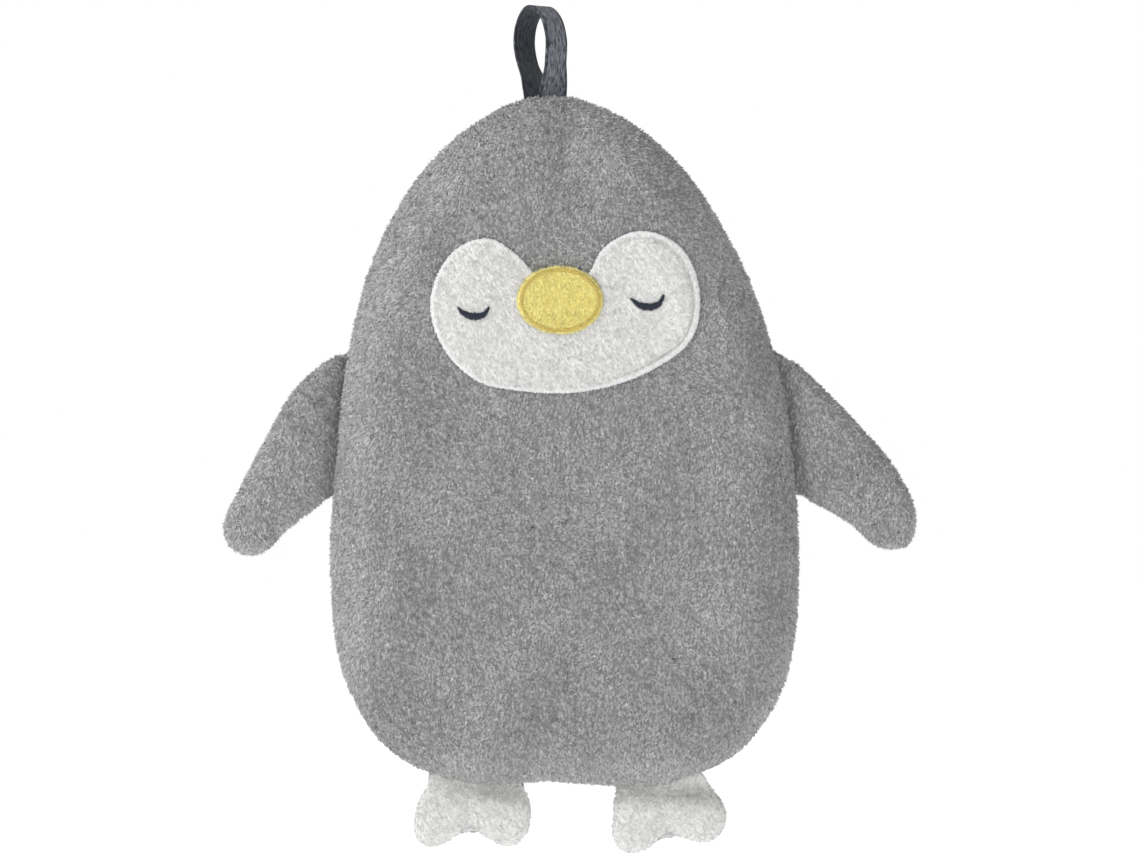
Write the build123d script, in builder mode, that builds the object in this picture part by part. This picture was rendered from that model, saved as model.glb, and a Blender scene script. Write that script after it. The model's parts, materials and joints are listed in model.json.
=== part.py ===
"""Flat plush penguin: a padded body with two flippers and two feet sewn into its edge seam,
an applique face, embroidered eyes, a beak and a hanging loop of folded cotton tape.

+Z is up, the face looks along -Y, and the origin is under the middle of the whole toy.
Left and right are as seen from the front, so left is -X.
"""

import os
from math import cos, radians, sin, sqrt, tan

from build123d import *

# ---------------------------------------------------------------- driving dimensions, mm
SEAM_Y = 1.9              # the edge seam of body and limbs lies in this plane
PLUSH = 2.2               # plush cloth with its pile
LIMB_PLUSH = 1.8          # the same cloth, pulled tighter over the small pieces
CLEARANCE = 0.2           # between a cloth shell and what it holds
THREAD = 0.6              # sewing thread, doubled along the seam

BODY_HALF, BODY_EDGE = 23.0, 22.0        # half thickness and the rounding of the edge
FLIPPER_HALF, FLIPPER_EDGE = 9.0, 8.0
FOOT_HALF, FOOT_EDGE = 6.4, 5.4

BODY_OUTLINE = [
    (-14, 316.5), (34, 299), (63.5, 261.5), (84, 216), (92.8, 170), (96.3, 118),
    (89.5, 68.5), (68, 40), (36, 28.2), (-2, 28), (-42, 28.4), (-74, 41), (-93, 68.5),
    (-100.3, 118), (-97, 170), (-90.6, 214), (-78, 258.5), (-51, 296),
]
CLOSING_GAP = 36.0        # stretch of the bottom seam sewn up by hand after filling

PATCH_OUTLINE = [
    (-57.6, 226), (-54, 242), (-46.5, 252), (-33, 256), (-22.5, 249.5), (-13, 240),
    (-3.5, 237), (6, 240.5), (15, 252), (30, 258.3), (44, 252.5), (52.9, 232),
    (49.6, 215), (33.5, 202.3), (9.4, 193.6), (-18, 192.8), (-40, 198), (-54, 213.5),
]
PATCH_PILE = 1.8
BORDER_WIDTH, BORDER_PILE = 3.3, 2.0
BEAK_CENTRE, BEAK_HALF_WIDTH, BEAK_HALF_HEIGHT = (-3.75, 229.7), 17.9, 14.0
BEAK_PILE = 1.4
BEAK_RIM_WIDTH, BEAK_RIM_PILE = 2.0, 1.8
EYE_STROKE, EYE_PILE = 2.1, 0.9
EYE_ARCS = {
    "left_eye": [(-46, 225.8), (-40.2, 222.1), (-34, 226.5)],
    "right_eye": [(26.6, 230), (32, 225.3), (38.5, 230.6)],
}

# Each limb folds about the straight line where it is sewn on. A root is given from one
# end of that line to the other, and "away" points from the body into the limb.
LIMB_TAPER = 24.0         # degrees, half angle of the limb where it thins to its root
ROOT_TRIM = 0.8           # the limb starts this far from the line it folds about
LIMBS = {
    "left_flipper": {
        "outline": [
            (-82, 214), (-101.5, 205.6), (-115.6, 192.4), (-126.4, 174), (-139.4, 149),
            (-145.2, 136), (-141.5, 126), (-131.5, 123.6), (-118, 134.5), (-102, 147.2),
            (-82, 155), (-66, 165), (-60, 184), (-66, 204),
        ],
        "root": [(-100.9, 148), (-93, 210)],
        "away": (-1, 0),
        "half": FLIPPER_HALF,
        "edge": FLIPPER_EDGE,
    },
    "right_flipper": {
        "outline": [
            (80, 214), (94.5, 205.4), (107, 193), (120, 179.5), (138, 157.5),
            (145.2, 139), (141.5, 128), (131.5, 125.6), (117, 135.5), (101, 147.4),
            (82, 155), (66, 165), (60, 184), (66, 204),
        ],
        "root": [(97.2, 148), (87.8, 210)],
        "away": (1, 0),
        "half": FLIPPER_HALF,
        "edge": FLIPPER_EDGE,
    },
    "left_foot": {
        "outline": [
            (-41, 46), (-55, 40), (-62.5, 26), (-64.8, 12.5), (-61, 4.6), (-53.5, 3.8),
            (-41.5, 9.4), (-32, 5.4), (-25, 3), (-18.6, 7), (-17, 16), (-19, 28), (-27, 41),
        ],
        "root": [(-58, 26.2), (-20, 26.2)],
        "away": (0, -1),
        "half": FOOT_HALF,
        "edge": FOOT_EDGE,
    },
    "right_foot": {
        "outline": [
            (41, 46), (27, 41), (19.5, 26), (17.9, 10), (22, 1.6), (31, 0.8),
            (42.5, 5.9), (54, 3.8), (61.6, 6.4), (64.4, 15), (62, 27), (55, 40),
        ],
        "root": [(20, 26.2), (56, 26.2)],
        "away": (0, -1),
        "half": FOOT_HALF,
        "edge": FOOT_EDGE,
    },
}

TAPE_WIDTH, TAPE_THICKNESS = 12.0, 1.2
LOOP_BASE = (-10.0, 318.8)               # where the two tape ends leave the top seam
LOOP_HALF_WIDTH, LOOP_HEIGHT = 11.0, 34.8
LOOP_TURN, LOOP_LEAN = 56.0, 4.5         # degrees, about the vertical and to the left

SEAM = Plane.XZ.offset(-SEAM_Y)
FRONT_Y = SEAM_Y - BODY_HALF


# ---------------------------------------------------------------- shapes used again
def tangents(points):
    """At each point of a closed outline, the direction of the circle through its neighbours."""
    directions = []
    for before, here, after in zip(points[-1:] + points[:-1], points, points[1:] + points[:1]):
        arriving, leaving = here - before, after - here
        ratio = leaving.length / arriving.length
        directions.append((arriving * ratio + leaving * (1 / ratio)).normalized())
    return directions


def closed_outline(points, shrink=0.0):
    """A smooth outline of arcs, two between each pair of points, moved inwards by shrink."""
    corners = [Vector(x, z) for x, z in points]
    ways = tangents(corners)
    with BuildSketch() as outline:
        with BuildLine():
            for i, (start, way_in) in enumerate(zip(corners, ways), 1 - len(corners)):
                end, way_out = corners[i], ways[i]
                chord, both = end - start, way_in + way_out
                bend = 2 * (1 - way_in.dot(way_out))
                push = chord.dot(both)
                arm = (sqrt(push**2 + bend * chord.dot(chord)) - push) / bend
                knee_in, knee_out = start + way_in * arm, end - way_out * arm
                middle = (knee_in + knee_out) / 2
                TangentArc(start, middle, tangent=way_in)
                TangentArc(middle, end, tangent=knee_out - knee_in)
        make_face()
        if shrink:
            offset(amount=-shrink)
    return outline.sketch


def cushion(points, half_thickness, edge_radius, inset=0.0):
    """A pillow of one outline: flat faces and a round edge, moved inwards by inset."""
    face = closed_outline(points, inset)
    with BuildPart() as pillow:
        with BuildSketch(SEAM):
            add(face)
        extrude(amount=half_thickness - inset, both=True)
        edge_loops = pillow.edges().group_by(Axis.Y)
        fillet(edge_loops[0] + edge_loops[-1], radius=edge_radius - inset)
    return pillow.part


def root_plane(limb):
    """The plane square to the line a limb folds about, with its x axis into the limb."""
    start, end = (Vector(x, SEAM_Y, z) for x, z in limb["root"])
    along = (end - start).normalized()
    away = Vector(limb["away"][0], 0, limb["away"][1])
    away = (away - along * away.dot(along)).normalized()
    return Plane(origin=(start + end) / 2, x_dir=away, z_dir=along)


def limb_solid(limb, inset=0.0):
    """A limb's pillow, thinned like a wedge towards the line where it is sewn on."""
    pillow = cushion(limb["outline"], limb["half"], limb["edge"], inset)
    reach = 90.0
    taper = tan(radians(LIMB_TAPER))
    apex = inset / sin(radians(LIMB_TAPER))
    start = max(apex, 0) + ROOT_TRIM
    with BuildPart() as limb_part:
        add(pillow)
        with BuildSketch(root_plane(limb)):
            with BuildLine():
                Polyline(
                    (start, (start - apex) * taper), (reach, (reach - apex) * taper),
                    (reach, (apex - reach) * taper), (start, (apex - start) * taper),
                    close=True,
                )
            make_face()
        extrude(amount=reach, both=True, mode=Mode.INTERSECT)
    return limb_part.part


def seam_ring(points, inset):
    """Thread along the inside of an edge seam."""
    outer = closed_outline(points, inset)
    inner = closed_outline(points, inset + THREAD)
    with BuildPart() as ring:
        with BuildSketch(SEAM):
            add(outer)
            add(inner, mode=Mode.SUBTRACT)
        extrude(amount=THREAD / 2, both=True)
    return ring.part


def write(part, name):
    part.label = name
    export_step(part, f"parts/{name}.step")


os.makedirs("parts", exist_ok=True)

# ---------------------------------------------------------------- body
body_skin = cushion(BODY_OUTLINE, BODY_HALF, BODY_EDGE)
body_room = cushion(BODY_OUTLINE, BODY_HALF, BODY_EDGE, PLUSH)

with BuildPart() as front_panel:
    add(body_skin)
    add(body_room, mode=Mode.SUBTRACT)
    split(bisect_by=SEAM, keep=Keep.TOP)
write(front_panel.part, "front_panel")

with BuildPart() as back_panel:
    add(body_skin)
    add(body_room, mode=Mode.SUBTRACT)
    split(bisect_by=SEAM, keep=Keep.BOTTOM)
write(back_panel.part, "back_panel")

body_seam_inset = PLUSH + CLEARANCE
filling_inset = body_seam_inset + THREAD + CLEARANCE

with BuildPart() as body_filling:
    add(cushion(BODY_OUTLINE, BODY_HALF, BODY_EDGE, filling_inset))
write(body_filling.part, "body_filling")

body_ring = seam_ring(BODY_OUTLINE, body_seam_inset)
closing_box = Plane(origin=(0, SEAM_Y, 28))

with BuildPart() as body_seam_thread:
    add(body_ring)
    with BuildSketch(closing_box.offset(-10)):
        Rectangle(CLOSING_GAP, 10)
    extrude(amount=20, mode=Mode.SUBTRACT)
write(body_seam_thread.part, "body_seam_thread")

with BuildPart() as closing_seam_thread:
    add(body_ring)
    with BuildSketch(closing_box.offset(-10)):
        Rectangle(CLOSING_GAP - 1, 10)
    extrude(amount=20, mode=Mode.INTERSECT)
write(closing_seam_thread.part, "closing_seam_thread")

# ---------------------------------------------------------------- face
patch_outer = closed_outline(PATCH_OUTLINE)
patch_inner = closed_outline(PATCH_OUTLINE, BORDER_WIDTH)
face_plane = Plane.XZ.offset(-FRONT_Y)
beak_plane = face_plane.offset(BORDER_PILE)

with BuildPart() as face_patch:
    with BuildSketch(face_plane):
        add(patch_inner)
    extrude(amount=PATCH_PILE)
write(face_patch.part, "face_patch")

with BuildPart() as face_patch_stitching:
    with BuildSketch(face_plane):
        add(patch_outer)
        add(patch_inner, mode=Mode.SUBTRACT)
    extrude(amount=BORDER_PILE)
write(face_patch_stitching.part, "face_patch_stitching")

with BuildPart() as beak:
    with BuildSketch(beak_plane):
        with Locations(BEAK_CENTRE):
            Ellipse(BEAK_HALF_WIDTH - BEAK_RIM_WIDTH, BEAK_HALF_HEIGHT - BEAK_RIM_WIDTH)
    extrude(amount=BEAK_PILE)
write(beak.part, "beak")

with BuildPart() as beak_stitching:
    with BuildSketch(beak_plane):
        with Locations(BEAK_CENTRE):
            Ellipse(BEAK_HALF_WIDTH, BEAK_HALF_HEIGHT)
            Ellipse(
                BEAK_HALF_WIDTH - BEAK_RIM_WIDTH, BEAK_HALF_HEIGHT - BEAK_RIM_WIDTH,
                mode=Mode.SUBTRACT,
            )
    extrude(amount=BEAK_RIM_PILE)
write(beak_stitching.part, "beak_stitching")

for eye_name, arc in EYE_ARCS.items():
    with BuildPart() as eye:
        with BuildSketch(face_plane.offset(PATCH_PILE)):
            with BuildLine():
                ThreePointArc(*arc)
            trace(line_width=EYE_STROKE)
            with Locations(arc[0], arc[-1]):
                Circle(EYE_STROKE / 2)
        extrude(amount=EYE_PILE)
    write(eye.part, eye_name)

# ---------------------------------------------------------------- flippers and feet
limb_seam_inset = LIMB_PLUSH + CLEARANCE
limb_filling_inset = limb_seam_inset + THREAD + CLEARANCE

for limb_name, limb in LIMBS.items():
    skin = limb_solid(limb)
    room = limb_solid(limb, LIMB_PLUSH)
    ring = seam_ring(limb["outline"], limb_seam_inset)
    ring_room = limb_solid(limb, limb_seam_inset)

    for face_name, side in (("front", Keep.TOP), ("back", Keep.BOTTOM)):
        with BuildPart() as cloth:
            add(skin)
            add(room, mode=Mode.SUBTRACT)
            split(bisect_by=SEAM, keep=side)
        write(cloth.part, f"{limb_name}_{face_name}")

    with BuildPart() as filling:
        add(limb_solid(limb, limb_filling_inset))
    write(filling.part, f"{limb_name}_filling")

    with BuildPart() as seam_thread:
        add(ring)
        add(ring_room, mode=Mode.INTERSECT)
    write(seam_thread.part, f"{limb_name}_seam_thread")

# ---------------------------------------------------------------- hanging loop
turn, lean = radians(LOOP_TURN), radians(LOOP_LEAN)
loop_plane = Plane(
    origin=(LOOP_BASE[0], SEAM_Y, LOOP_BASE[1]),
    x_dir=(cos(turn) * cos(lean), -sin(turn), cos(turn) * sin(lean)),
    z_dir=Vector(cos(turn) * cos(lean), -sin(turn), cos(turn) * sin(lean)).cross(
        Vector(-sin(lean), 0, cos(lean))
    ),
)
strand_gap = TAPE_THICKNESS / 2 + 0.1

with BuildPart() as hanging_loop:
    with BuildSketch(loop_plane):
        with BuildLine():
            Spline(
                (-strand_gap, 0), (-0.75 * LOOP_HALF_WIDTH, 0.32 * LOOP_HEIGHT),
                (-LOOP_HALF_WIDTH, 0.62 * LOOP_HEIGHT), (0, LOOP_HEIGHT),
                (LOOP_HALF_WIDTH, 0.62 * LOOP_HEIGHT),
                (0.75 * LOOP_HALF_WIDTH, 0.32 * LOOP_HEIGHT), (strand_gap, 0),
                tangents=[(-0.35, 1), (0.35, -1)],
            )
        trace(line_width=TAPE_THICKNESS)
    extrude(amount=TAPE_WIDTH / 2, both=True)
write(hanging_loop.part, "hanging_loop")
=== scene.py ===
"""The finish of a flat plush penguin: puffed plush skins with their pile, satin-stitched
trims, closed eyes and a woven tape loop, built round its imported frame."""

import json
from math import cos, pi, radians, sin

import bpy
import numpy as np
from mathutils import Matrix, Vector
from mathutils.bvhtree import BVHTree


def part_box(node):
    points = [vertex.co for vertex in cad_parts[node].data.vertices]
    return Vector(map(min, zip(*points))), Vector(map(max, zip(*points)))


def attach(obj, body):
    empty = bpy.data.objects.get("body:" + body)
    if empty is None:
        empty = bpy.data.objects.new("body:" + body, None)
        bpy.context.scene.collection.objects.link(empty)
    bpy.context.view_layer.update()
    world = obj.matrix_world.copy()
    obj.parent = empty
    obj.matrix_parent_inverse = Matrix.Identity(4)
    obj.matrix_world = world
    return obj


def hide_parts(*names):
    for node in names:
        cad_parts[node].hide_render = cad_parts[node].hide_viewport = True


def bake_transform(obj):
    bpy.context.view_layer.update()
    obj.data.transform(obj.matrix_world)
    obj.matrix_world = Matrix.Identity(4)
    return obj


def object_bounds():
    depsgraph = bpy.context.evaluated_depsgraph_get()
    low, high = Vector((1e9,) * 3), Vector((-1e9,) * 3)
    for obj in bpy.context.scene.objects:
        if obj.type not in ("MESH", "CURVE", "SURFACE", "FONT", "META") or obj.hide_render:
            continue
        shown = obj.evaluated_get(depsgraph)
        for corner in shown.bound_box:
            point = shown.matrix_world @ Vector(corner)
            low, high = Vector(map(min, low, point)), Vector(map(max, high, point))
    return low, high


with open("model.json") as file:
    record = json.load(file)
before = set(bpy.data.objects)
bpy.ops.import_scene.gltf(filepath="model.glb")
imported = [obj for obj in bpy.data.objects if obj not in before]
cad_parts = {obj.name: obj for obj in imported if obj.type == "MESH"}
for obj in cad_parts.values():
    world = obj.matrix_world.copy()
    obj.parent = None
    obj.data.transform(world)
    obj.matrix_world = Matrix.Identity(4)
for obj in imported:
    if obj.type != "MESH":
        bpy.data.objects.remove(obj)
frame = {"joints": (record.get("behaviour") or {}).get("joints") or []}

bl_info = {
    "name": "Plush Penguin",
    "version": (1, 0, 0),
    "blender": (4, 5, 0),
    "location": "3D View > Sidebar > Penguin",
    "description": "Dresses the plush penguin's frame in plush, satin stitching and tape",
    "category": "Object",
}

MM = 0.001
CAD_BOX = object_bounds()
SEAM_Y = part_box("back_panel")[0][1]
FILL_FRAMES = 20

FLOOR_DROP = 40 * MM      # the toy hangs this far above the floor
VIEW_WIDTH = 477.5 * MM   # what the camera sees at the toy
CAMERA_X, CAMERA_Z = 0.2 * MM, 177.2 * MM

# Outlines, across and up, in millimetres. Each is a smooth closed line.
BODY_OUTLINE = [
    (-14, 316.3), (34, 299.6), (51, 282), (64.2, 261.4), (84.2, 216), (93, 170), (96.2, 118),
    (89.7, 68.4), (69.5, 39.8), (38, 27.3), (16, 27.2), (-6, 29.6), (-42, 28.2), (-74.8, 40.8),
    (-93.6, 68.4), (-100.3, 118), (-97.4, 170), (-91.9, 214), (-78.4, 258), (-51.2, 295.8),
]
FACE_OUTLINE = [
    (-57.6, 226), (-54, 242), (-46.5, 251.6), (-33, 255.4), (-22.5, 249.2), (-13, 240),
    (-3.5, 237), (6.6, 240), (14.2, 251.6), (29.6, 258.6), (44.8, 253), (54, 232.4),
    (50.8, 214.4), (34.2, 201.2), (9.4, 192.8), (-18, 192.2), (-40, 197.6), (-54, 213.5),
]
BEAK_CENTRE = (-3.9, 229.9)
EYE_LINES = {
    "left_eye": [
        (-46.2, 226.8), (-43.8, 224.5), (-40.9, 223.4), (-37.9, 223.2), (-35.3, 224.1), (-33.4, 226.9),
    ],
    "right_eye": [
        (25.6, 230.6), (28.4, 228.3), (31.4, 227.2), (34.6, 227.2), (37.2, 228.6), (39, 232),
    ],
}
LIMBS = {
    "left_flipper": [
        (-82, 213), (-92, 210.4), (-101.5, 205.4), (-115.6, 192.4), (-126.4, 174), (-139.4, 149),
        (-145.2, 136), (-141.5, 126), (-131.5, 123.8), (-118, 134.7), (-102, 146),
        (-82, 152), (-66, 165), (-60, 184), (-66, 203),
    ],
    "right_flipper": [
        (80, 213.4), (88, 209.4), (94.5, 204.6), (107, 193), (120, 179.5), (138, 157.5),
        (145.2, 139), (141.5, 127.6), (131.5, 126.6), (117, 137.6), (101, 146),
        (82, 151), (66, 165), (60, 184), (66, 203),
    ],
    "left_foot": [
        (-41, 47), (-53.5, 41.5), (-59.5, 33), (-62.5, 23.5), (-65.2, 12), (-64.3, 4.6),
        (-58.2, 1), (-50.5, 3.9), (-42, 8.6), (-34, 5), (-26.8, 1.2), (-18.6, 5.6),
        (-16, 15.1), (-17.2, 24), (-20.5, 34), (-28, 42),
    ],
    "right_foot": [
        (40, 47), (27, 42), (20.4, 34), (18.6, 27), (18.2, 15), (18, 4.6), (22.4, -0.6),
        (31.4, -0.2), (40.2, 5.8), (48.5, 5), (57.2, 3), (64, 7.8), (66, 15),
        (62.6, 23.5), (57.6, 31.5), (51, 41),
    ],
}
# Dimples and soft rises of the filled front: across, up, depth and radius.
DIMPLES = [
    (-64, 180, 2.6, 15), (-44, 158, 1.6, 11), (-70, 138, 1.2, 14), (64, 194, 2.0, 14),
    (78, 150, 1.2, 10), (4, 84, 1.4, 12), (-40, 72, 1.4, 14), (-6, 270, -1.2, 22),
    (34, 150, -1.4, 20), (20, 116, 1.0, 12), (56, 78, 1.4, 15),
]
# Where the two toes of each foot meet, across.
TOES = {"left_foot": -42, "right_foot": 40.8}
# The tape's middle line, across, forwards or back from the seam, and up.
LOOP_LINE = [
    (-12.8, 1.6, 314), (-15, 4.2, 323), (-18, 7.4, 331.5), (-19.1, 8.4, 340),
    (-17.6, 6.4, 348.2), (-13.4, 0.4, 353.4), (-8.2, -6.4, 349.2), (-5.8, -8.6, 341.5),
    (-5.8, -7, 330), (-7.3, -1.8, 314),
]


# ---------------------------------------------------------------- sizes and colours
def length(name, description, default):
    return bpy.props.FloatProperty(
        name=name, description=description, default=default, unit="LENGTH", precision=4
    )


def colour(name, description, default):
    return bpy.props.FloatVectorProperty(
        name=name, description=description, default=default, size=3,
        subtype="COLOR", min=0, max=1,
    )


class PenguinSizes(bpy.types.PropertyGroup):
    body_half: length("Body depth", "From the seam to the front of the body", 20.5 * MM)
    body_edge: length("Body edge", "Rounding of the body's edge", 19.5 * MM)
    body_swell: length("Body swell", "Most that the filling pushes the body out", 4.5 * MM)
    rim_roll: length("Rim roll", "How far the filling bulges along the body's rim", 1.4 * MM)
    sunk: length("Sunk middle", "How far the middle of the body lies below its rim", 4.6 * MM)
    flipper_half: length("Flipper depth", "From the seam to the flipper's face", 7.5 * MM)
    foot_half: length("Foot depth", "From the seam to the foot's face", 6.0 * MM)
    limb_swell: length("Limb swell", "Most that the filling pushes a limb out", 2.0 * MM)
    root_depth: length("Root depth", "How far a limb reaches into the body", 8.0 * MM)
    pile: length("Grey pile", "Length of a tuft of the grey plush", 1.6 * MM)
    white_pile: length("White pile", "Length of a tuft of the white plush", 1.3 * MM)
    border_width: length("Border width", "Satin border of the face", 2.5 * MM)
    groove: length("Groove", "Pressed-down line between the face and its border", 1.3 * MM)
    stitch: length("Stitch spacing", "From one satin stitch to the next", 0.45 * MM)
    beak_width: length("Beak width", "Width of the beak", 35.8 * MM)
    beak_height: length("Beak height", "Height of the beak", 28 * MM)
    rim_width: length("Beak rim", "Satin rim of the beak", 1.5 * MM)
    thread: length("Thread", "Thickness of the sewing thread in the seams", 0.6 * MM)
    tape_width: length("Tape width", "Width of the loop's tape", 12 * MM)
    tape_thickness: length("Tape thickness", "Thickness of the loop's tape", 1.1 * MM)


class PenguinColours(bpy.types.PropertyGroup):
    grey: colour("Grey plush", "Tips of the grey pile", (0.405, 0.405, 0.403))
    # The three deep plush colours in this group are painted shade: the darkness that falls between the
    # tufts.
    grey_gap_shade: colour("Grey plush, deep", "Between the tufts of the grey pile", (0.20, 0.20, 0.20))
    white: colour("White plush", "Tips of the white pile", (0.78, 0.775, 0.76))
    white_gap_shade: colour("White plush, deep", "Between the white tufts", (0.66, 0.655, 0.64))
    satin_white: colour("White stitching", "Satin border of the face", (0.83, 0.835, 0.86))
    yellow: colour("Beak", "Plush of the beak", (0.90, 0.80, 0.29))
    yellow_gap_shade: colour("Beak, deep", "Between the tufts of the beak", (0.70, 0.585, 0.16))
    ochre: colour("Beak rim", "Satin rim of the beak", (0.62, 0.47, 0.11))
    navy: colour("Eyes", "Thread of the eyes", (0.006, 0.014, 0.032))
    tape: colour("Tape", "Lighter threads of the loop", (0.29, 0.305, 0.35))
    # The inner-face colour is painted shade: a darker copy of the tape for the faces that look into the
    # loop.
    tape_inner_shade: colour("Tape, inner face", "Lighter threads inside the loop", (0.085, 0.09, 0.11))
    # The deep tape colour serves both the dark marled threads and the painted shade along the tape's
    # edges.
    tape_marl_and_edge_shade: colour("Tape, deep", "Darker threads of the loop", (0.022, 0.024, 0.034))


# ---------------------------------------------------------------- material tools
class Wire:
    """A value in a material. Sums, products and powers on it add Math nodes."""

    def __init__(self, tree, socket):
        self.tree, self.socket = tree, socket

    def math(self, operation, *values):
        return self.tree.node("ShaderNodeMath", {"operation": operation}, dict(enumerate(values)))

    def __add__(self, other):
        return self.math("ADD", self, other)

    def __sub__(self, other):
        return self.math("SUBTRACT", self, other)

    def __rsub__(self, other):
        return self.math("SUBTRACT", other, self)

    def __mul__(self, other):
        return self.math("MULTIPLY", self, other)

    def sine(self):
        return self.math("SINE", self)

    def size(self):
        return self.math("ABSOLUTE", self)

    def smooth(self, low, high):
        values = {"Value": self, "From Min": low, "From Max": high}
        settings = {"interpolation_type": "SMOOTHSTEP"}
        return self.tree.node("ShaderNodeMapRange", settings, values)


class Tree:
    """A node tree under construction, with one way to add any node."""

    def __init__(self, tree):
        self.nodes, self.links = tree.nodes, tree.links

    def join(self, socket, value):
        if isinstance(value, Wire):
            self.links.new(value.socket, socket)
        else:
            socket.default_value = value

    def node(self, kind, settings=None, values=None, output=0):
        added = self.nodes.new(kind)
        for key, value in (settings or {}).items():
            setattr(added, key, value)
        for key, value in (values or {}).items():
            self.join(added.inputs[key], value)
        return Wire(self, added.outputs[output])


class Cloth(Tree):
    """A cloth or thread material under construction."""

    def __init__(self, name, **constants):
        self.material = bpy.data.materials.new(name)
        self.material.use_nodes = True
        super().__init__(self.material.node_tree)
        self.shader = self.nodes["Principled BSDF"]
        for socket, value in constants.items():
            self.shader.inputs[socket.replace("_", " ")].default_value = value

    def place(self):
        return self.node("ShaderNodeTexCoord", output="Object")

    def uv(self):
        return self.node("ShaderNodeTexCoord", output="UV")

    def noise(self, where, scale, detail=2.0):
        return self.node("ShaderNodeTexNoise", {}, {"Vector": where, "Scale": scale, "Detail": detail})

    def cells(self, where, scale):
        return self.node(
            "ShaderNodeTexVoronoi", {"feature": "SMOOTH_F1"},
            {"Vector": where, "Scale": scale, "Smoothness": 0.35},
        )

    def stretched(self, where, scale, turn=(0, 0, 0)):
        return self.node("ShaderNodeMapping", {}, {"Vector": where, "Rotation": turn, "Scale": scale})

    def mix(self, factor, first, second):
        settings = {"data_type": "RGBA", "clamp_factor": True}
        return self.node("ShaderNodeMix", settings, {0: factor, 6: first, 7: second}, output=2)

    def surface(self, colour, height, distance, roughness=None):
        self.join(self.shader.inputs["Base Color"], colour)
        values = {"Height": height, "Distance": distance, "Strength": 1.0}
        self.join(self.shader.inputs["Normal"], self.node("ShaderNodeBump", {}, values))
        if roughness is not None:
            self.join(self.shader.inputs["Roughness"], roughness)
        return self.material


def rgba(values, shade=1.0):
    return (*(min(1.0, value * shade) for value in values), 1.0)


def plush(name, tip, deep, tuft, depth):
    """The cloth that the pile stands on: tufts a little longer than wide, with painted shade between
    them.
    """
    cloth = Cloth(name, Roughness=0.95, Sheen_Weight=0.25, Sheen_Roughness=0.6, Specular_IOR_Level=0.15)
    where = cloth.place()
    leaning = cloth.stretched(where, (1.0, 1.0, 0.72), (0, radians(24), 0))
    wander = cloth.noise(where, 0.35 / tuft, 3)
    tufts = 1 - cloth.cells(leaning, 1.0 / tuft).smooth(0.1, 0.75)
    strands = cloth.noise(leaning, 3.2 / tuft, 2)
    height = tufts * 0.75 + strands * 0.35
    body = (tufts * 0.55 + strands * 0.3 + wander * 0.3).smooth(0.22, 0.85)
    # Between its tufts the cloth darkens to the deep colour: painted shade.
    colours = cloth.mix(body, rgba(deep), rgba(tip))
    return cloth.surface(colours, height, depth)


def pile_finishes(name, colour_value, shades):
    """Plain colours of pile, dark to light, for the tufts themselves."""
    return [
        Cloth(
            f"{name}_{number}", Base_Color=rgba(colour_value, shade), Roughness=0.95,
            Sheen_Weight=0.45, Sheen_Roughness=0.45, Specular_IOR_Level=0.1,
        ).material
        for number, shade in enumerate(shades)
    ]


def satin_finish(name, colour_value):
    """Shiny embroidery thread, a little uneven from stitch to stitch."""
    cloth = Cloth(name, Roughness=0.55, Sheen_Weight=0.2, Specular_IOR_Level=0.35)
    where = cloth.place()
    uneven = cloth.noise(where, 900, 2)
    colours = cloth.mix(uneven.smooth(0.3, 0.7), rgba(colour_value, 0.78), rgba(colour_value))
    return cloth.surface(colours, cloth.noise(where, 4200, 2), 0.00012, uneven * 0.25 + 0.42)


def tape_finish(name, light, deep):
    """Twill tape: fine slanting ribs, marled threads and a firmer edge on each side, with painted shade
    along each edge.
    """
    cloth = Cloth(name, Roughness=0.85, Sheen_Weight=0.15, Specular_IOR_Level=0.2)
    uv = cloth.uv()
    along, across = (
        cloth.node("ShaderNodeSeparateXYZ", {}, {"Vector": uv}, output=axis) for axis in "XY"
    )
    ribs = ((along + across * 0.8) * (2 * pi / 0.9)).sine()
    cross = (along * (2 * pi / 0.45)).sine()
    marl = cloth.noise(cloth.stretched(uv, (0.4, 1.2, 1)), 0.8, 4)
    edge = (across - 6).size().smooth(4.6, 5.2)
    height = ribs * 0.35 + cross * 0.15 + marl * 0.3 - edge * 0.35
    # Each edge also darkens the colour: painted shade of the folded edge.
    shade = (ribs * 0.1 + marl * 2.0 - edge * 0.3).smooth(0.5, 1.5)
    return cloth.surface(cloth.mix(shade, rgba(deep), rgba(light)), height, 0.0003)


def fibre_finish(name, light):
    """Loose filling fibre or plain sewing thread."""
    cloth = Cloth(name, Roughness=0.9, Specular_IOR_Level=0.2)
    where = cloth.place()
    strands = cloth.noise(cloth.stretched(where, (1, 1, 0.2)), 700, 3)
    colours = cloth.mix(strands, rgba(light, 0.7), rgba(light))
    return cloth.surface(colours, strands, 0.0006)


# ---------------------------------------------------------------- shaping tools
def deselect():
    bpy.ops.object.select_all(action="DESELECT")


def take(piece):
    """Makes a piece the only one that operators act on."""
    deselect()
    piece.select_set(True)
    bpy.context.view_layer.objects.active = piece


def modify(piece, kind, **settings):
    """Adds a modifier, sets it and applies it."""
    take(piece)
    modifier = piece.modifiers.new(kind.title(), kind)
    for key, value in settings.items():
        setattr(modifier, key, value)
    bpy.ops.object.modifier_apply(modifier=modifier.name)


def positions(piece):
    points = np.empty(len(piece.data.vertices) * 3)
    piece.data.vertices.foreach_get("co", points)
    return points.reshape(-1, 3)


def normals(piece):
    values = np.empty(len(piece.data.vertices) * 3)
    piece.data.vertices.foreach_get("normal", values)
    return values.reshape(-1, 3)


def move_to(piece, points):
    piece.data.vertices.foreach_set("co", points.ravel())
    piece.data.update()


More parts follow.
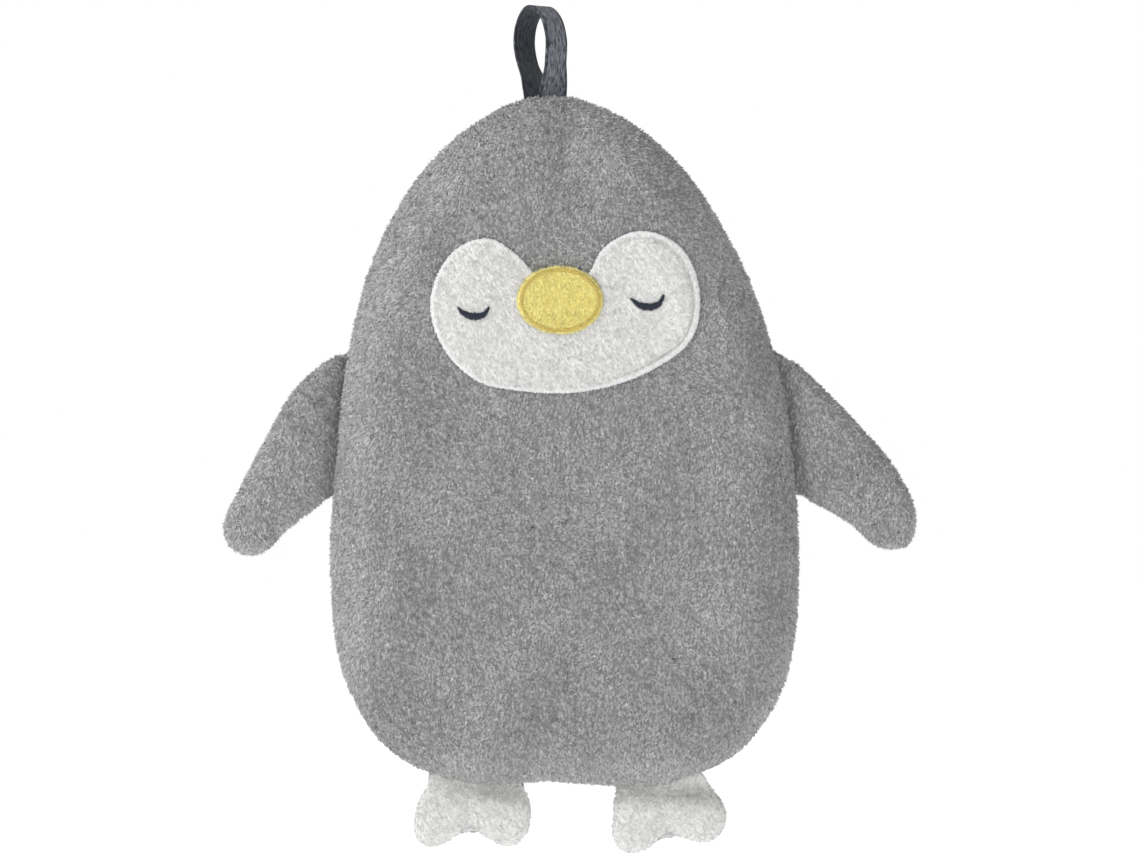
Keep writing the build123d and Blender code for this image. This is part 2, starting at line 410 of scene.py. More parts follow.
def link(name, data):
    """Puts a new object that shows the data in the scene."""
    piece = bpy.data.objects.new(name, data)
    bpy.context.collection.objects.link(piece)
    return piece


def edit(piece, *actions):
    """Runs mesh operators, each with its settings, on the whole of a piece."""
    take(piece)
    bpy.ops.object.mode_set(mode="EDIT")
    bpy.ops.mesh.select_all(action="SELECT")
    for action, settings in actions:
        action(**settings)
    bpy.ops.object.mode_set(mode="OBJECT")


def unit(vectors):
    return vectors / np.linalg.norm(vectors, axis=1)[:, None]


def headings(ring):
    """The way ahead at each point of a closed line."""
    return unit(np.roll(ring, -1, 0) - np.roll(ring, 1, 0))


def step(values, low, high):
    """0 below low, 1 above high and smooth between."""
    t = np.clip((values - low) / (high - low), 0, 1)
    return t * t * (3 - 2 * t)


def smooth_line(points, spacing, closed=True):
    """Evenly spaced points on a smooth line through the given ones, in metres."""
    given = np.array(points, float) * MM
    if closed:
        before, after = np.roll(given, 1, 0), np.roll(given, -1, 0)
    else:
        before = np.vstack([2 * given[0] - given[1], given[:-1]])
        after = np.vstack([given[1:], 2 * given[-1] - given[-2]])
    arriving, leaving = given - before, after - given
    ratio = np.linalg.norm(leaving, axis=1) / np.linalg.norm(arriving, axis=1)
    ways = unit(arriving * ratio[:, None] + leaving / ratio[:, None])
    t = np.linspace(0, 1, 24, endpoint=False)[:, None]
    stretches = []
    for i in range(len(given) if closed else len(given) - 1):
        j = (i + 1) % len(given)
        reach = np.linalg.norm(given[j] - given[i])
        stretches.append(
            (2 * t**3 - 3 * t**2 + 1) * given[i] + (t**3 - 2 * t**2 + t) * reach * ways[i]
            + (3 * t**2 - 2 * t**3) * given[j] + (t**3 - t**2) * reach * ways[j]
        )
    line = np.vstack(stretches + [given[:1] if closed else given[-1:]])
    gone = np.r_[0, np.cumsum(np.linalg.norm(np.diff(line, axis=0), axis=1))]
    count = max(8, round(gone[-1] / spacing))
    wanted = np.linspace(0, gone[-1], count, endpoint=not closed)
    return np.stack([np.interp(wanted, gone, line[:, k]) for k in range(line.shape[1])], 1)


def inset(outline, amount):
    """A closed outline as an even line, in metres, drawn in by an amount in millimetres."""
    line = smooth_line(outline, 2.0 * MM)
    after = np.roll(line, -1, 0)
    turning = np.sign((line[:, 0] * after[:, 1] - after[:, 0] * line[:, 1]).sum())
    way = headings(line)
    return line + np.stack([-way[:, 1], way[:, 0]], 1) * turning * amount * MM


def pillow(name, outline, half, edge, voxel):
    """A closed pillow on a smooth outline, with a round edge and an even mesh."""
    curve = bpy.data.curves.new(name, "CURVE")
    curve.dimensions = "2D"
    curve.fill_mode = "BOTH"
    spline = curve.splines.new("POLY")
    ring = smooth_line(outline, 2.0 * MM)
    spline.points.add(len(ring) - 1)
    for point, (x, z) in zip(spline.points, ring):
        point.co = (x, z, 0, 1)
    spline.use_cyclic_u = True
    curve.extrude = half - edge
    curve.bevel_depth = edge
    curve.bevel_resolution = 6
    curve.offset = -edge
    piece = link(name, curve)
    take(piece)
    bpy.ops.object.convert(target="MESH")
    piece.rotation_euler = (pi / 2, 0, 0)
    piece.location = (0, SEAM_Y, 0)
    bpy.ops.object.transform_apply(location=True, rotation=True, scale=True)
    edit(
        piece, (bpy.ops.mesh.remove_doubles, {"threshold": 0.01 * MM}),
        (bpy.ops.mesh.normals_make_consistent, {"inside": False}),
    )
    modify(piece, "REMESH", mode="VOXEL", voxel_size=voxel)
    return piece


def puff(piece, swell, pressure, held):
    """Fills a skin by cloth simulation. Held vertices stay, others move by up to swell."""
    start = positions(piece)
    group = piece.vertex_groups.new(name="held")
    group.add([int(i) for i in np.flatnonzero(held)], 1.0, "REPLACE")
    take(piece)
    cloth = piece.modifiers.new("Cloth", "CLOTH")
    settings = cloth.settings
    settings.quality = 5
    settings.mass = 0.25
    settings.tension_stiffness = settings.compression_stiffness = 18
    settings.bending_stiffness = 0.6
    settings.use_pressure = True
    settings.uniform_pressure_force = pressure
    settings.vertex_group_mass = "held"
    settings.effector_weights.gravity = 0
    cloth.point_cache.frame_start, cloth.point_cache.frame_end = 1, FILL_FRAMES
    scene = bpy.context.scene
    for number in range(1, FILL_FRAMES + 1):
        scene.frame_set(number)
    bpy.ops.object.modifier_apply(modifier=cloth.name)
    moved = positions(piece) - start
    far = np.linalg.norm(moved, axis=1)
    share = np.minimum(1, swell / np.maximum(far, 1e-9))
    move_to(piece, start + moved * share[:, None])
    scene.frame_set(1)
    piece.vertex_groups.clear()


def soften(piece, levels, lumps, lump_size):
    """Subdivides a skin and gives its broad faces the uneven feel of their filling."""
    modify(piece, "SUBSURF", levels=levels, render_levels=levels)
    texture = bpy.data.textures.new(piece.name + "_lumps", "CLOUDS")
    texture.noise_scale = lump_size
    texture.noise_depth = 2
    broad = piece.vertex_groups.new(name="broad")
    facing = np.abs(normals(piece)[:, 1])
    for share in range(1, 11):
        chosen = np.flatnonzero(np.round(facing * 10) == share)
        broad.add([int(i) for i in chosen], share / 10, "REPLACE")
    modify(
        piece, "DISPLACE", texture=texture, texture_coords="LOCAL", strength=lumps,
        mid_level=0.5, vertex_group="broad",
    )
    piece.vertex_groups.clear()


def pinch_seam(piece, depth, width):
    """Draws the skin in along its edge seam."""
    points = positions(piece)
    near = np.exp(-(((points[:, 1] - SEAM_Y) / width) ** 2))
    flat = normals(piece) * (1, 0.2, 1)
    move_to(piece, points - flat * (depth * near)[:, None])


def crease(piece, across, top, depth, width):
    """Presses both faces in along an upright line that ends softly at top."""
    points = positions(piece)
    near = np.exp(-(((points[:, 0] - across) / width) ** 2)) * (1 - step(points[:, 2], 0.4 * top, top))
    points[:, 1] += np.sign(SEAM_Y - points[:, 1]) * depth * near
    move_to(piece, points)


def stuffing(name, skin, depth, cad_node, finish, body, share=None):
    """The fibre inside a skin: a copy of it, drawn in by depth, or by a share of it at each point."""
    piece = skin.copy()
    piece.data = skin.data.copy()
    piece.name = piece.data.name = name
    bpy.context.collection.objects.link(piece)
    drawn = depth * (np.ones(len(piece.data.vertices)) if share is None else share)
    move_to(piece, positions(piece) - normals(piece) * drawn[:, None])
    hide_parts(cad_node)
    finish_piece(piece, [finish], "filling_fibre", body)


def seam_line(name, points, thickness, cad_node, finish, body):
    """A sewing thread inside the seam, along points across and up."""
    curve = bpy.data.curves.new(name, "CURVE")
    curve.dimensions = "3D"
    spline = curve.splines.new("POLY")
    spline.points.add(len(points) - 1)
    for point, (x, z) in zip(spline.points, points):
        point.co = (x, SEAM_Y, z, 1)
    curve.bevel_depth = thickness / 2
    curve.bevel_resolution = 1
    curve.use_fill_caps = True
    piece = link(name, curve)
    take(piece)
    bpy.ops.object.convert(target="MESH")
    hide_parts(cad_node)
    finish_piece(piece, [finish], "thread_grey", body)


def drift(points, seed, size):
    """A smooth value that wanders over a surface between about -1 and 1, as brushed nap does."""
    rng = np.random.default_rng(seed)
    total = np.zeros(len(points))
    for _ in range(6):
        way = rng.normal(0, 1, 3)
        way *= 2 * pi / (size * rng.uniform(0.6, 1.6) * np.linalg.norm(way))
        total += np.sin(points @ way + rng.uniform(0, 2 * pi))
    return total / 2.4


def surface_of(piece):
    """A finder of how far forward a piece's front lies at any place."""
    tree = BVHTree.FromObject(piece, bpy.context.evaluated_depsgraph_get())

    def front(x, z):
        hit = tree.ray_cast(Vector((x, -1, z)), Vector((0, 1, 0)))[0]
        return hit.y if hit else tree.find_nearest(Vector((x, -0.02, z)))[0].y

    return front


def inside(ring, points):
    """Which points, across and up, lie inside a closed ring."""
    x, z = points[:, 0], points[:, 1]
    result = np.zeros(len(points), bool)
    for (x1, z1), (x2, z2) in zip(ring, np.roll(ring, -1, 0)):
        crosses = (z1 > z) != (z2 > z)
        if z1 != z2:
            result ^= crosses & (x < (x2 - x1) * (z - z1) / (z2 - z1) + x1)
    return result


def nearest(ring, points):
    """How far each point is from a ring."""
    parts = np.array_split(points, max(1, len(points) // 4000))
    return np.concatenate(
        [np.sqrt(((part[:, None, :] - ring[None]) ** 2).sum(2).min(1)) for part in parts]
    )


def outwards(joint):
    """Straight out from the line where a limb is sewn on."""
    way = Vector(joint["axis"]).cross(Vector((0, 1, 0))).normalized()
    middle = (Vector(CAD_BOX[0]) + Vector(CAD_BOX[1])) / 2
    return way if way.dot(Vector(joint["pos_m"]) - middle) > 0 else -way


def finish_piece(piece, finishes, slot, body):
    """Gives a piece its finishes; attaches it to its body where the body is a name, and otherwise only
    bakes its placement. The slot is not used.
    """
    piece.data.materials.clear()
    for finish in finishes:
        piece.data.materials.append(finish)
    piece.data.polygons.foreach_set("use_smooth", [True] * len(piece.data.polygons))
    if isinstance(body, str):
        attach(piece, body)
    else:
        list(body)
        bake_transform(piece)


def tuft_shape():
    """One tuft, modelled once: a closed three-sided point on a base one unit across."""
    deselect()
    bpy.ops.mesh.primitive_cone_add(
        vertices=3, radius1=0.5, radius2=0, depth=1, end_fill_type="NGON", location=(0, 0, 0.5)
    )
    tuft = bpy.context.object
    bpy.ops.object.transform_apply(location=True, rotation=True, scale=True)
    shape = positions(tuft), [tuple(face.vertices) for face in tuft.data.polygons]
    bpy.data.objects.remove(tuft)
    return shape


def pile(name, skin, size, density, seed, finishes, slot, body, keep=None, grain=0.3):
    """Short brushed tufts all over a skin, as one mesh. size is a tuft's width and length, and
    grain is how far the light on a tuft strays from the light on its skin."""
    mesh = skin.data
    mesh.calc_loop_triangles()
    corners = np.array([tri.vertices[:] for tri in mesh.loop_triangles])
    points, outward = positions(skin), normals(skin)
    a, b, c = (points[corners[:, k]] for k in range(3))
    areas = np.linalg.norm(np.cross(b - a, c - a), axis=1) / 2
    rng = np.random.default_rng(seed)
    count = int(areas.sum() / MM**2 * density)
    chosen = rng.choice(len(areas), count, p=areas / areas.sum())
    weights = rng.dirichlet((1, 1, 1), count)
    where = sum(points[corners[chosen, k]] * weights[:, k : k + 1] for k in range(3))
    up = sum(outward[corners[chosen, k]] * weights[:, k : k + 1] for k in range(3))
    if keep is not None:
        kept = keep(where)
        where, up = where[kept], up[kept]
        count = len(where)
    width, tall = size
    combed = radians(-80) + 0.8 * drift(where, seed + 100, 60 * MM)
    comb = np.stack([np.cos(combed), np.zeros(count), np.sin(combed)], 1)
    lean = rng.normal(0, 0.4, (count, 3)) + 0.75 * comb
    lean -= up * (lean * up).sum(1)[:, None]
    axis = unit(up + lean)
    side = unit(np.cross(axis, rng.normal(0, 1, (count, 3))))
    other = np.cross(axis, side)
    shape, faces = tuft_shape()
    wide = width * rng.uniform(0.75, 1.25, count)
    high = tall * rng.uniform(0.7, 1.25, count)
    across = np.stack([side * wide[:, None], other * wide[:, None], axis * high[:, None]], 1)
    root = where - axis * (0.25 * tall)
    vertices = (root[:, None, :] + np.einsum("pk,nkj->npj", shape, across)).reshape(-1, 3)
    starts = (np.arange(count) * len(shape)).tolist()
    data = bpy.data.meshes.new(name)
    data.from_pydata(
        vertices.tolist(), [], [tuple(start + v for v in face) for start in starts for face in faces]
    )
    piece = link(name, data)
    finish_piece(piece, finishes, slot, body)
    middle = (len(finishes) - 1) / 2
    patches, clumps = drift(where, seed + 200, 42 * MM), drift(where, seed + 300, 3.4 * MM)
    shade = middle * (1 + 0.3 * patches + 0.4 * clumps) + rng.normal(0, 0.35 * middle, count)
    kinds = np.clip(np.round(shade), 0, len(finishes) - 1).astype(int)
    data.polygons.foreach_set("material_index", np.repeat(kinds, len(faces)))
    swirl = np.stack([drift(where, seed + 400 + k, 3.4 * MM) for k in range(3)], 1)
    shown = unit(up + 0.25 * lean + rng.normal(0, grain, (count, 3)) + swirl * grain)
    data.normals_split_custom_set_from_vertices(np.repeat(shown, len(shape), 0).tolist())


def satin(name, line, widths, rise, base, slot, finish, slant=0.0):
    """Satin stitches side by side along a line of points, each an arched strand across it."""
    closed = np.allclose(line[0], line[-1], atol=2 * MM)
    ways = headings(line) if closed else unit(np.gradient(line, axis=0))
    sides = np.stack([-ways[:, 1], ways[:, 0]], 1)
    pitch = np.linalg.norm(line[1] - line[0])
    stations = np.array([-1, -0.72, 0, 0.72, 1])
    vertices, faces = [], []
    rng = np.random.default_rng(len(line))
    for centre, way, side, width in zip(line, ways, sides, widths):
        ragged = rng.uniform(0.82, 1.2, 2)
        for s in stations:
            reach = s * width / 2 * (ragged[0] if s < 0 else ragged[1])
            x, z = centre + side * reach + way * (slant * reach)
            top = base(x, z) - rise * max(0.12, 1 - s * s) ** 0.5
            thick = 0.62 * pitch * (0.6 if abs(s) == 1 else 1)
            for along, deep in ((-thick, 0.5), (0, 1.0), (thick, 0.5), (0, -0.2)):
                y = top + (1 - deep) * 0.9 * pitch
                vertices.append((x + way[0] * along, y, z + way[1] * along))
        # Each station has four corners: three over the strand and one below it.
        last = len(vertices) - 4
        start = last - 4 * (len(stations) - 1)
        for corner in range(start, last, 4):
            for m in range(4):
                first, second = corner + m, corner + (m + 1) % 4
                faces.append((first, second, second + 4, first + 4))
        faces.append((start + 3, start + 2, start + 1, start))
        faces.append((last, last + 1, last + 2, last + 3))
    data = bpy.data.meshes.new(name)
    data.from_pydata(vertices, [], faces)
    piece = link(name, data)
    edit(piece, (bpy.ops.mesh.normals_make_consistent, {"inside": False}))
    finish_piece(piece, [finish], slot, "body")
    return piece


def lay_on(piece, front, lift):
    """Moves a flat piece on to a front surface, keeping its thickness, lifted off by lift."""
    points = positions(piece)
    depth = points[:, 1] - SEAM_Y
    for point, deep in zip(points, depth):
        point[1] = front(point[0], point[2]) - lift + deep
    move_to(piece, points)


# ---------------------------------------------------------------- operators
class PENGUIN_OT_stage(bpy.types.Operator):
    """Sets up the floor, the soft light and the camera"""

    bl_idname = "penguin.stage"
    bl_label = "Stage"

    def execute(self, context):
        scene = context.scene
        scene.view_settings.view_transform = "Standard"
        low, high = CAD_BOX
        deselect()
        bpy.ops.mesh.primitive_plane_add(size=9, location=(0, 0, low[2] - FLOOR_DROP))
        floor = context.object
        floor.name = "floor"
        paint = Cloth(
            "floor_white", Base_Color=(0.95, 0.95, 0.95, 1), Roughness=0.9,
            Emission_Color=(1, 1, 1, 1), Emission_Strength=0.7,
        )
        floor.data.materials.append(paint.material)
        world = bpy.data.worlds.new("studio")
        scene.world = world
        world.use_nodes = True
        room = Tree(world.node_tree)
        walls = room.nodes["Background"]
        walls.inputs["Color"].default_value = (1, 1, 1, 1)
        seen = room.node("ShaderNodeLightPath", output="Is Camera Ray")
        room.join(walls.inputs["Strength"], seen * 0.67 + 0.33)
        middle = Vector((0, 0, (low[2] + high[2]) / 2))
        for name, place, size, power in (
            ("key", (-1.4, -0.95, 1.5), 0.9, 31.0),
            ("fill", (1.1, -1.4, 0.4), 1.2, 5.5),
        ):
            light = bpy.data.lights.new(name, "AREA")
            light.size = size
            light.energy = power
            lamp = link(name, light)
            lamp.location = place
            lamp.rotation_euler = (middle - lamp.location).to_track_quat("-Z", "Y").to_euler()
        camera = link("camera", bpy.data.cameras.new("camera"))
        camera.data.lens = 150
        distance = VIEW_WIDTH * camera.data.lens / camera.data.sensor_width
        camera.location = (CAMERA_X, -distance, CAMERA_Z)
        camera.rotation_euler = (pi / 2, 0, 0)
        scene.camera = camera
        return {"FINISHED"}


class PENGUIN_OT_body(bpy.types.Operator):
    """Makes the padded body and its grey pile"""

    bl_idname = "penguin.body"
    bl_label = "Body"

    def execute(self, context):
        sizes, colours = context.scene.penguin_sizes, context.scene.penguin_colours
        body = pillow("body_plush", BODY_OUTLINE, sizes.body_half, sizes.body_edge, 5 * MM)
        held = np.abs(positions(body)[:, 1] - SEAM_Y) < 3.2 * MM
        puff(body, sizes.body_swell, 4.0, held)
        points = positions(body)
        far = nearest(smooth_line(BODY_OUTLINE, 2 * MM), points[:, [0, 2]])
        roll = sizes.rim_roll * np.exp(-(((far - 14 * MM) / (7 * MM)) ** 2))
        roll -= sizes.sunk * step(far, 12 * MM, 40 * MM)
        in_front = points[:, 1] < SEAM_Y
        for across, up, depth, radius in DIMPLES:
            away = np.hypot(points[:, 0] - across * MM, points[:, 2] - up * MM) / (radius * MM)
            roll -= in_front * depth * MM * np.exp(-(away**2))
        points[:, 1] += roll * normals(body)[:, 1]
        move_to(body, points)
        fibre = fibre_finish("filling_fibre", (0.75, 0.75, 0.73))
        stuffing("body_fibre", body, 4.5 * MM, "body_filling", fibre, "body")
        soften(body, 2, 2.4 * MM, 42 * MM)
        pinch_seam(body, 1.3 * MM, 2.2 * MM)
        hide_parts("front_panel", "back_panel")
        thread = fibre_finish("seam_thread", (0.3, 0.3, 0.3))
        ring = inset(BODY_OUTLINE, 4.5)
        bottom = (np.abs(ring[:, 0]) < 22 * MM) & (ring[:, 1] < 60 * MM)
        first = int(np.flatnonzero(bottom & ~np.roll(bottom, 1))[0])
        ring, bottom = np.roll(ring, -first, 0), np.roll(bottom, -first)
        seam_line("closing_seam", ring[bottom], sizes.thread, "closing_seam_thread", thread, "body")
        seam_line("body_seam", ring[~bottom], sizes.thread, "body_seam_thread", thread, "body")
        skin = plush("grey_plush", colours.grey, colours.grey_gap_shade, 1.3 * MM, 0.6 * MM)
        finish_piece(body, [skin], "plush_grey", "body")
        ring = smooth_line(FACE_OUTLINE, 1.5 * MM)
        greys = pile_finishes("grey_pile", colours.grey, (0.68, 0.84, 1.0, 1.17, 1.36))
        size = (1.3 * MM, sizes.pile)

        def front(points):
            """The front, bare where the face is sewn on."""
            return (points[:, 1] <= SEAM_Y) & ~inside(ring, points[:, [0, 2]])

        pile("body_pile_front", body, size, 0.92, 11, greys, "plush_grey", "body", front)
        pile(
            "body_pile_back", body, size, 0.84, 12, greys, "plush_grey", "body",
            lambda points: points[:, 1] > SEAM_Y,
        )
        return {"FINISHED"}


class PENGUIN_OT_limbs(bpy.types.Operator):
    """Makes the two flippers and the two feet"""

    bl_idname = "penguin.limbs"
    bl_label = "Flippers and feet"

    def execute(self, context):
        sizes, colours = context.scene.penguin_sizes, context.scene.penguin_colours
        grey = bpy.data.materials["grey_plush"]
        greys = [bpy.data.materials[f"grey_pile_{i}"] for i in range(5)]
        white = plush("white_plush", colours.white, colours.white_gap_shade, 1.1 * MM, 0.3 * MM)
        # The feet's white pile is a lighter copy of the face's: painted light, since the feet take less
        # light than the face.
        whites = pile_finishes("white_pile", colours.white, (0.97, 1.01, 1.05, 1.09))
        joints = {joint["child"]: joint for joint in frame["joints"]}
        thread = bpy.data.materials["seam_thread"]
        for number, (name, outline) in enumerate(LIMBS.items()):
            foot = name.endswith("foot")
            half = sizes.foot_half if foot else sizes.flipper_half
            root, away = Vector(joints[name]["pos_m"]), outwards(joints[name])
            skin = pillow(f"{name}_plush", outline, half, half - 0.8 * MM, 2.5 * MM)
            cut = {"plane_co": root - away * sizes.root_depth, "plane_no": away}
            edit(skin, (bpy.ops.mesh.bisect, {**cut, "clear_inner": True, "use_fill": True}))

            def reach(places=None):
                """How far out each point of the skin, or each given place, lies from the hinge line."""
                return ((positions(skin) if places is None else places) - np.array(root)) @ np.array(away)

            thin = 0.14 + 0.86 * step(reach(), -1 * MM, (10 if foot else 9) * MM) ** 0.8
            points = positions(skin)
            points[:, 1] = SEAM_Y + (points[:, 1] - SEAM_Y) * thin
            move_to(skin, points)
            modify(skin, "REMESH", mode="VOXEL", voxel_size=1.6 * MM)
            held = (np.abs(positions(skin)[:, 1] - SEAM_Y) < 1.2 * MM) | (reach() < 3 * MM)
            puff(skin, sizes.limb_swell, 5.0, held)
            if foot:
                crease(skin, TOES[name] * MM, 27 * MM, 2.3 * MM, 3.6 * MM)
            bend = ("body", name, root - away * 1 * MM, root + away * (8 if foot else 14) * MM)
            stuffing(
                f"{name}_fibre", skin, 1.8 * MM, f"{name}_filling",
                bpy.data.materials["filling_fibre"], bend, 0.2 + 0.8 * step(reach(), 0, 12 * MM),
            )
            ring = inset(outline, 3.2)
            middle = np.array([root.x, root.z])
            out = (ring - middle) @ np.array([away.x, away.z])
            first = int(np.argmin(np.where(out > -3 * MM, np.inf, np.arange(len(out)))))
            ring, out = np.roll(ring, -first, 0), np.roll(out, -first)
            seam_line(
                f"{name}_seam", ring[out > -3 * MM], sizes.thread, f"{name}_seam_thread", thread, bend
            )
            soften(skin, 1, 1.2 * MM, 16 * MM)
            pinch_seam(skin, 0.7 * MM, 1.3 * MM)
            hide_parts(f"{name}_front", f"{name}_back")
            slot = "plush_white" if foot else "plush_grey"
            finish_piece(skin, [white if foot else grey], slot, bend)
            size = (1.0 * MM, sizes.white_pile) if foot else (1.25 * MM, sizes.pile)
            # Flippers are bare of tufts next to the hinge line, so the darker cloth shows there: painted
            # shade in the crease by the body.
            pile(
                f"{name}_pile", skin, size, 1.3 if foot else 0.95, 20 + number,
                whites if foot else greys, slot, bend,
                None if foot else lambda places: reach(places) > 2.4 * MM, 0.12 if foot else 0.34,
            )
        return {"FINISHED"}


class PENGUIN_OT_face(bpy.types.Operator):
    """Makes the white face with its satin border"""

    bl_idname = "penguin.face"
    bl_label = "Face"

    def execute(self, context):
        sizes, colours = context.scene.penguin_sizes, context.scene.penguin_colours
        front = surface_of(bpy.data.objects["body_plush"])
        patch = pillow("face_plush", FACE_OUTLINE, 1.1 * MM, 0.8 * MM, 0.8 * MM)
        ring = smooth_line(FACE_OUTLINE, 1.0 * MM)

        def groove(flat):
            """1 along the pressed-down line beside the border, which fades out to the left."""
            gone = (nearest(ring, flat) - sizes.border_width - 0.3 * MM) / sizes.groove
            return np.exp(-((2 * gone) ** 2)) * step(flat[:, 0], 8 * MM, 36 * MM)

        points = positions(patch)
        flat = points[:, [0, 2]]
        out = points[:, 1] < SEAM_Y
        rise = 0.9 * MM * step(nearest(ring, flat), 1.5 * MM, 9 * MM) - 1.3 * MM * groove(flat)
        points[out, 1] -= rise[out]
        move_to(patch, points)
        lay_on(patch, front, 0.9 * MM)
        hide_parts("face_patch")
        finish_piece(patch, [bpy.data.materials["white_plush"]], "plush_white", "body")
        # A darker copy of the feet's white pile; the difference between the two is painted light on the
        # feet.
        whites = pile_finishes("face_pile", colours.white, (0.85, 0.89, 0.93, 0.97))

        def facing(places):
            """The front of the face, up to its border and clear of the groove."""
            flat = places[:, [0, 2]]
            heights = np.array([front(x, z) for x, z in flat])
            inner = (nearest(ring, flat) > 1.2 * MM) & (groove(flat) < 0.45)
            return inner & (places[:, 1] < heights - 0.4 * MM)

        pile(
            "face_pile", patch, (1.0 * MM, sizes.white_pile * 0.8), 1.5, 5, whites,
            "plush_white", "body", facing, 0.12,
        )
        line = smooth_line(FACE_OUTLINE, sizes.stitch)
        way = headings(line)
        widths = sizes.border_width * (1 - 0.25 * step(line[:, 0], 8 * MM, 36 * MM))
        line = line + np.stack([way[:, 1], -way[:, 0]], 1) * widths[:, None] * 0.42
        thread = satin_finish("white_satin", colours.satin_white)
        border = satin(
            "face_border", line, widths, 1.2 * MM,
            lambda x, z: front(x, z) - 0.8 * MM, "thread_white", thread, 0.15,
        )
        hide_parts("face_patch_stitching")
        return {"FINISHED"}


class PENGUIN_OT_beak(bpy.types.Operator):
    """Makes the yellow beak with its ochre rim"""

    bl_idname = "penguin.beak"
    bl_label = "Beak"

    def execute(self, context):
        sizes, colours = context.scene.penguin_sizes, context.scene.penguin_colours
        front = surface_of(bpy.data.objects["body_plush"])
        wide, tall = sizes.beak_width / 2 / MM, sizes.beak_height / 2 / MM
        oval = [
            (BEAK_CENTRE[0] + wide * cos(i * pi / 8), BEAK_CENTRE[1] - tall * sin(i * pi / 8))
            for i in range(16)
        ]
        beak = pillow("beak_plush", oval, 1.7 * MM, 1.4 * MM, 0.7 * MM)
        lay_on(beak, front, 2.6 * MM)
        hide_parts("beak")
        cloth = plush("yellow_plush", colours.yellow, colours.yellow_gap_shade, 1.1 * MM, 0.4 * MM)
        finish_piece(beak, [cloth], "plush_yellow", "body")
        yellows = pile_finishes("yellow_pile", colours.yellow, (0.86, 0.94, 1.0, 1.08))

        def facing(places):
            heights = np.array([front(x, z) for x, _, z in places])
            return places[:, 1] < heights - 1.4 * MM

        pile(
            "beak_pile", beak, (0.9 * MM, 1.2 * MM), 2.2, 7, yellows, "plush_yellow", "body",
            facing, 0.2,
        )
        line = smooth_line(oval, sizes.stitch)
        centre = np.array(BEAK_CENTRE) * MM
        line = centre + (line - centre) * (1 - 1.5 * MM / (sizes.beak_height / 2))
        rim = satin(
            "beak_rim", line, np.full(len(line), sizes.rim_width), 0.7 * MM,
            lambda x, z: front(x, z) - 4.2 * MM, "thread_ochre",
            satin_finish("ochre_satin", colours.ochre), 0.2,
        )
        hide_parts("beak_stitching")
        return {"FINISHED"}


class PENGUIN_OT_eyes(bpy.types.Operator):
    """Embroiders the two closed eyes"""

    bl_idname = "penguin.eyes"
    bl_label = "Eyes"

    def execute(self, context):
        sizes, colours = context.scene.penguin_sizes, context.scene.penguin_colours
        front = surface_of(bpy.data.objects["face_plush"])
        navy = satin_finish("navy_satin", colours.navy)
        for name, points in EYE_LINES.items():
            line = smooth_line(points, sizes.stitch * 0.8, closed=False)
            t = np.linspace(0, 1, len(line))
            widths = (0.9 + 2.1 * np.sin(pi * t)) * MM
            eye = satin(
                f"{name}_thread", line, widths, 0.9 * MM, lambda x, z: front(x, z) - 0.3 * MM,
                "thread_navy", navy, 0.1,
            )
            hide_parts(name)
        return {"FINISHED"}


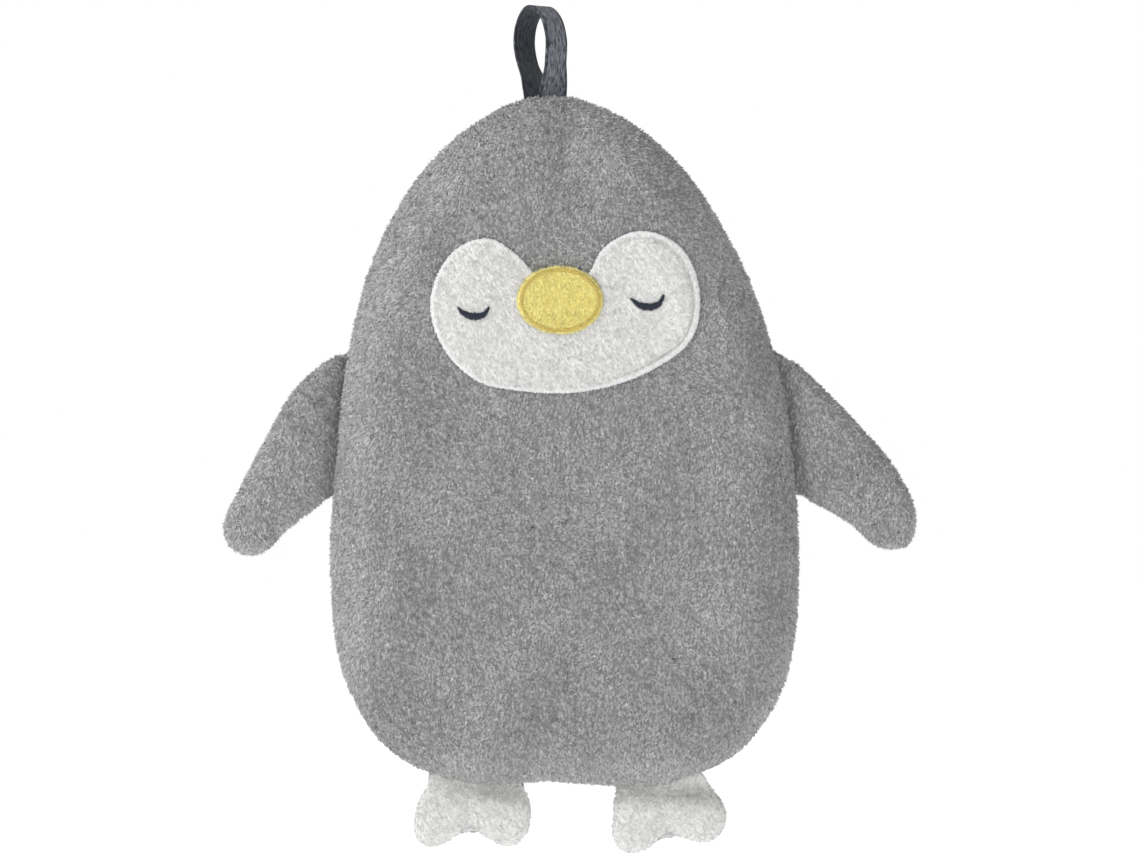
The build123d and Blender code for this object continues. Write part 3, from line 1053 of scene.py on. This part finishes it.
class PENGUIN_OT_loop(bpy.types.Operator):
    """Makes the hanging loop of woven tape"""

    bl_idname = "penguin.loop"
    bl_label = "Loop"

    def execute(self, context):
        sizes, colours = context.scene.penguin_sizes, context.scene.penguin_colours
        root = next(Vector(joint["pos_m"]) for joint in frame["joints"] if joint["child"] == "loop")
        line = smooth_line(LOOP_LINE, 0.8 * MM, closed=False) + np.array([0, SEAM_Y, 0])
        ways = unit(np.gradient(line, axis=0))
        high = step(line[:, 2], line[0, 2], line[0, 2] + 16 * MM)
        turn = np.radians(12 + 33 * high)
        across = np.stack([np.cos(turn), np.sin(turn), np.zeros(len(turn))], 1)
        across = unit(across - ways * (across * ways).sum(1)[:, None])
        columns = np.linspace(-0.5, 0.5, 13) * sizes.tape_width
        grid = line[:, None, :] + across[:, None, :] * columns[None, :, None]
        rows, wide = grid.shape[:2]
        faces = [
            (r * wide + c, r * wide + c + 1, (r + 1) * wide + c + 1, (r + 1) * wide + c)
            for r in range(rows - 1) for c in range(wide - 1)
        ]
        data = bpy.data.meshes.new("loop_tape")
        data.from_pydata(grid.reshape(-1, 3).tolist(), [], faces)
        layer = data.uv_layers.new(name="tape")
        for corner, loop in enumerate(data.loops):
            row, column = divmod(loop.vertex_index, wide)
            layer.data[corner].uv = (row * 0.8, column)
        tape = link("loop_tape", data)
        modify(tape, "SOLIDIFY", thickness=sizes.tape_thickness, offset=0, use_rim=True)
        modify(tape, "BEVEL", width=0.3 * MM, segments=2, limit_method="ANGLE")
        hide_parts("hanging_loop")
        finish_piece(
            tape,
            [
                tape_finish("twill_tape", colours.tape, colours.tape_marl_and_edge_shade),
                tape_finish("twill_tape_inner", colours.tape_inner_shade, colours.tape_marl_and_edge_shade),
            ],
            "cotton_tape", ("body", "loop", root - Vector((0, 0, 1 * MM)), root + Vector((0, 0, 7 * MM))),
        )
        # Faces that look into the loop get the darker copy of the tape: painted shade on the loop's inner
        # face.
        heart = line.mean(0)
        for face in tape.data.polygons:
            face.material_index = int(np.dot(face.normal, np.array(face.center) - heart) < 0)
        return {"FINISHED"}


class PENGUIN_PT_parts(bpy.types.Panel):
    """The penguin's pieces"""

    bl_label = "Plush Penguin"
    bl_space_type = "VIEW_3D"
    bl_region_type = "UI"
    bl_category = "Penguin"

    def draw(self, context):
        for operator in OPERATORS:
            self.layout.operator(operator.bl_idname)


OPERATORS = (
    PENGUIN_OT_stage, PENGUIN_OT_body, PENGUIN_OT_limbs, PENGUIN_OT_face, PENGUIN_OT_beak,
    PENGUIN_OT_eyes, PENGUIN_OT_loop,
)
CLASSES = (PenguinSizes, PenguinColours, *OPERATORS, PENGUIN_PT_parts)


def register():
    for each in CLASSES:
        bpy.utils.register_class(each)
    bpy.types.Scene.penguin_sizes = bpy.props.PointerProperty(type=PenguinSizes)
    bpy.types.Scene.penguin_colours = bpy.props.PointerProperty(type=PenguinColours)


def unregister():
    del bpy.types.Scene.penguin_sizes, bpy.types.Scene.penguin_colours
    for each in reversed(CLASSES):
        bpy.utils.unregister_class(each)


def main():
    register()
    bpy.ops.penguin.stage()
    bpy.ops.penguin.body()
    bpy.ops.penguin.limbs()
    bpy.ops.penguin.face()
    bpy.ops.penguin.beak()
    bpy.ops.penguin.eyes()
    bpy.ops.penguin.loop()


if __name__ == "__main__":
    main()
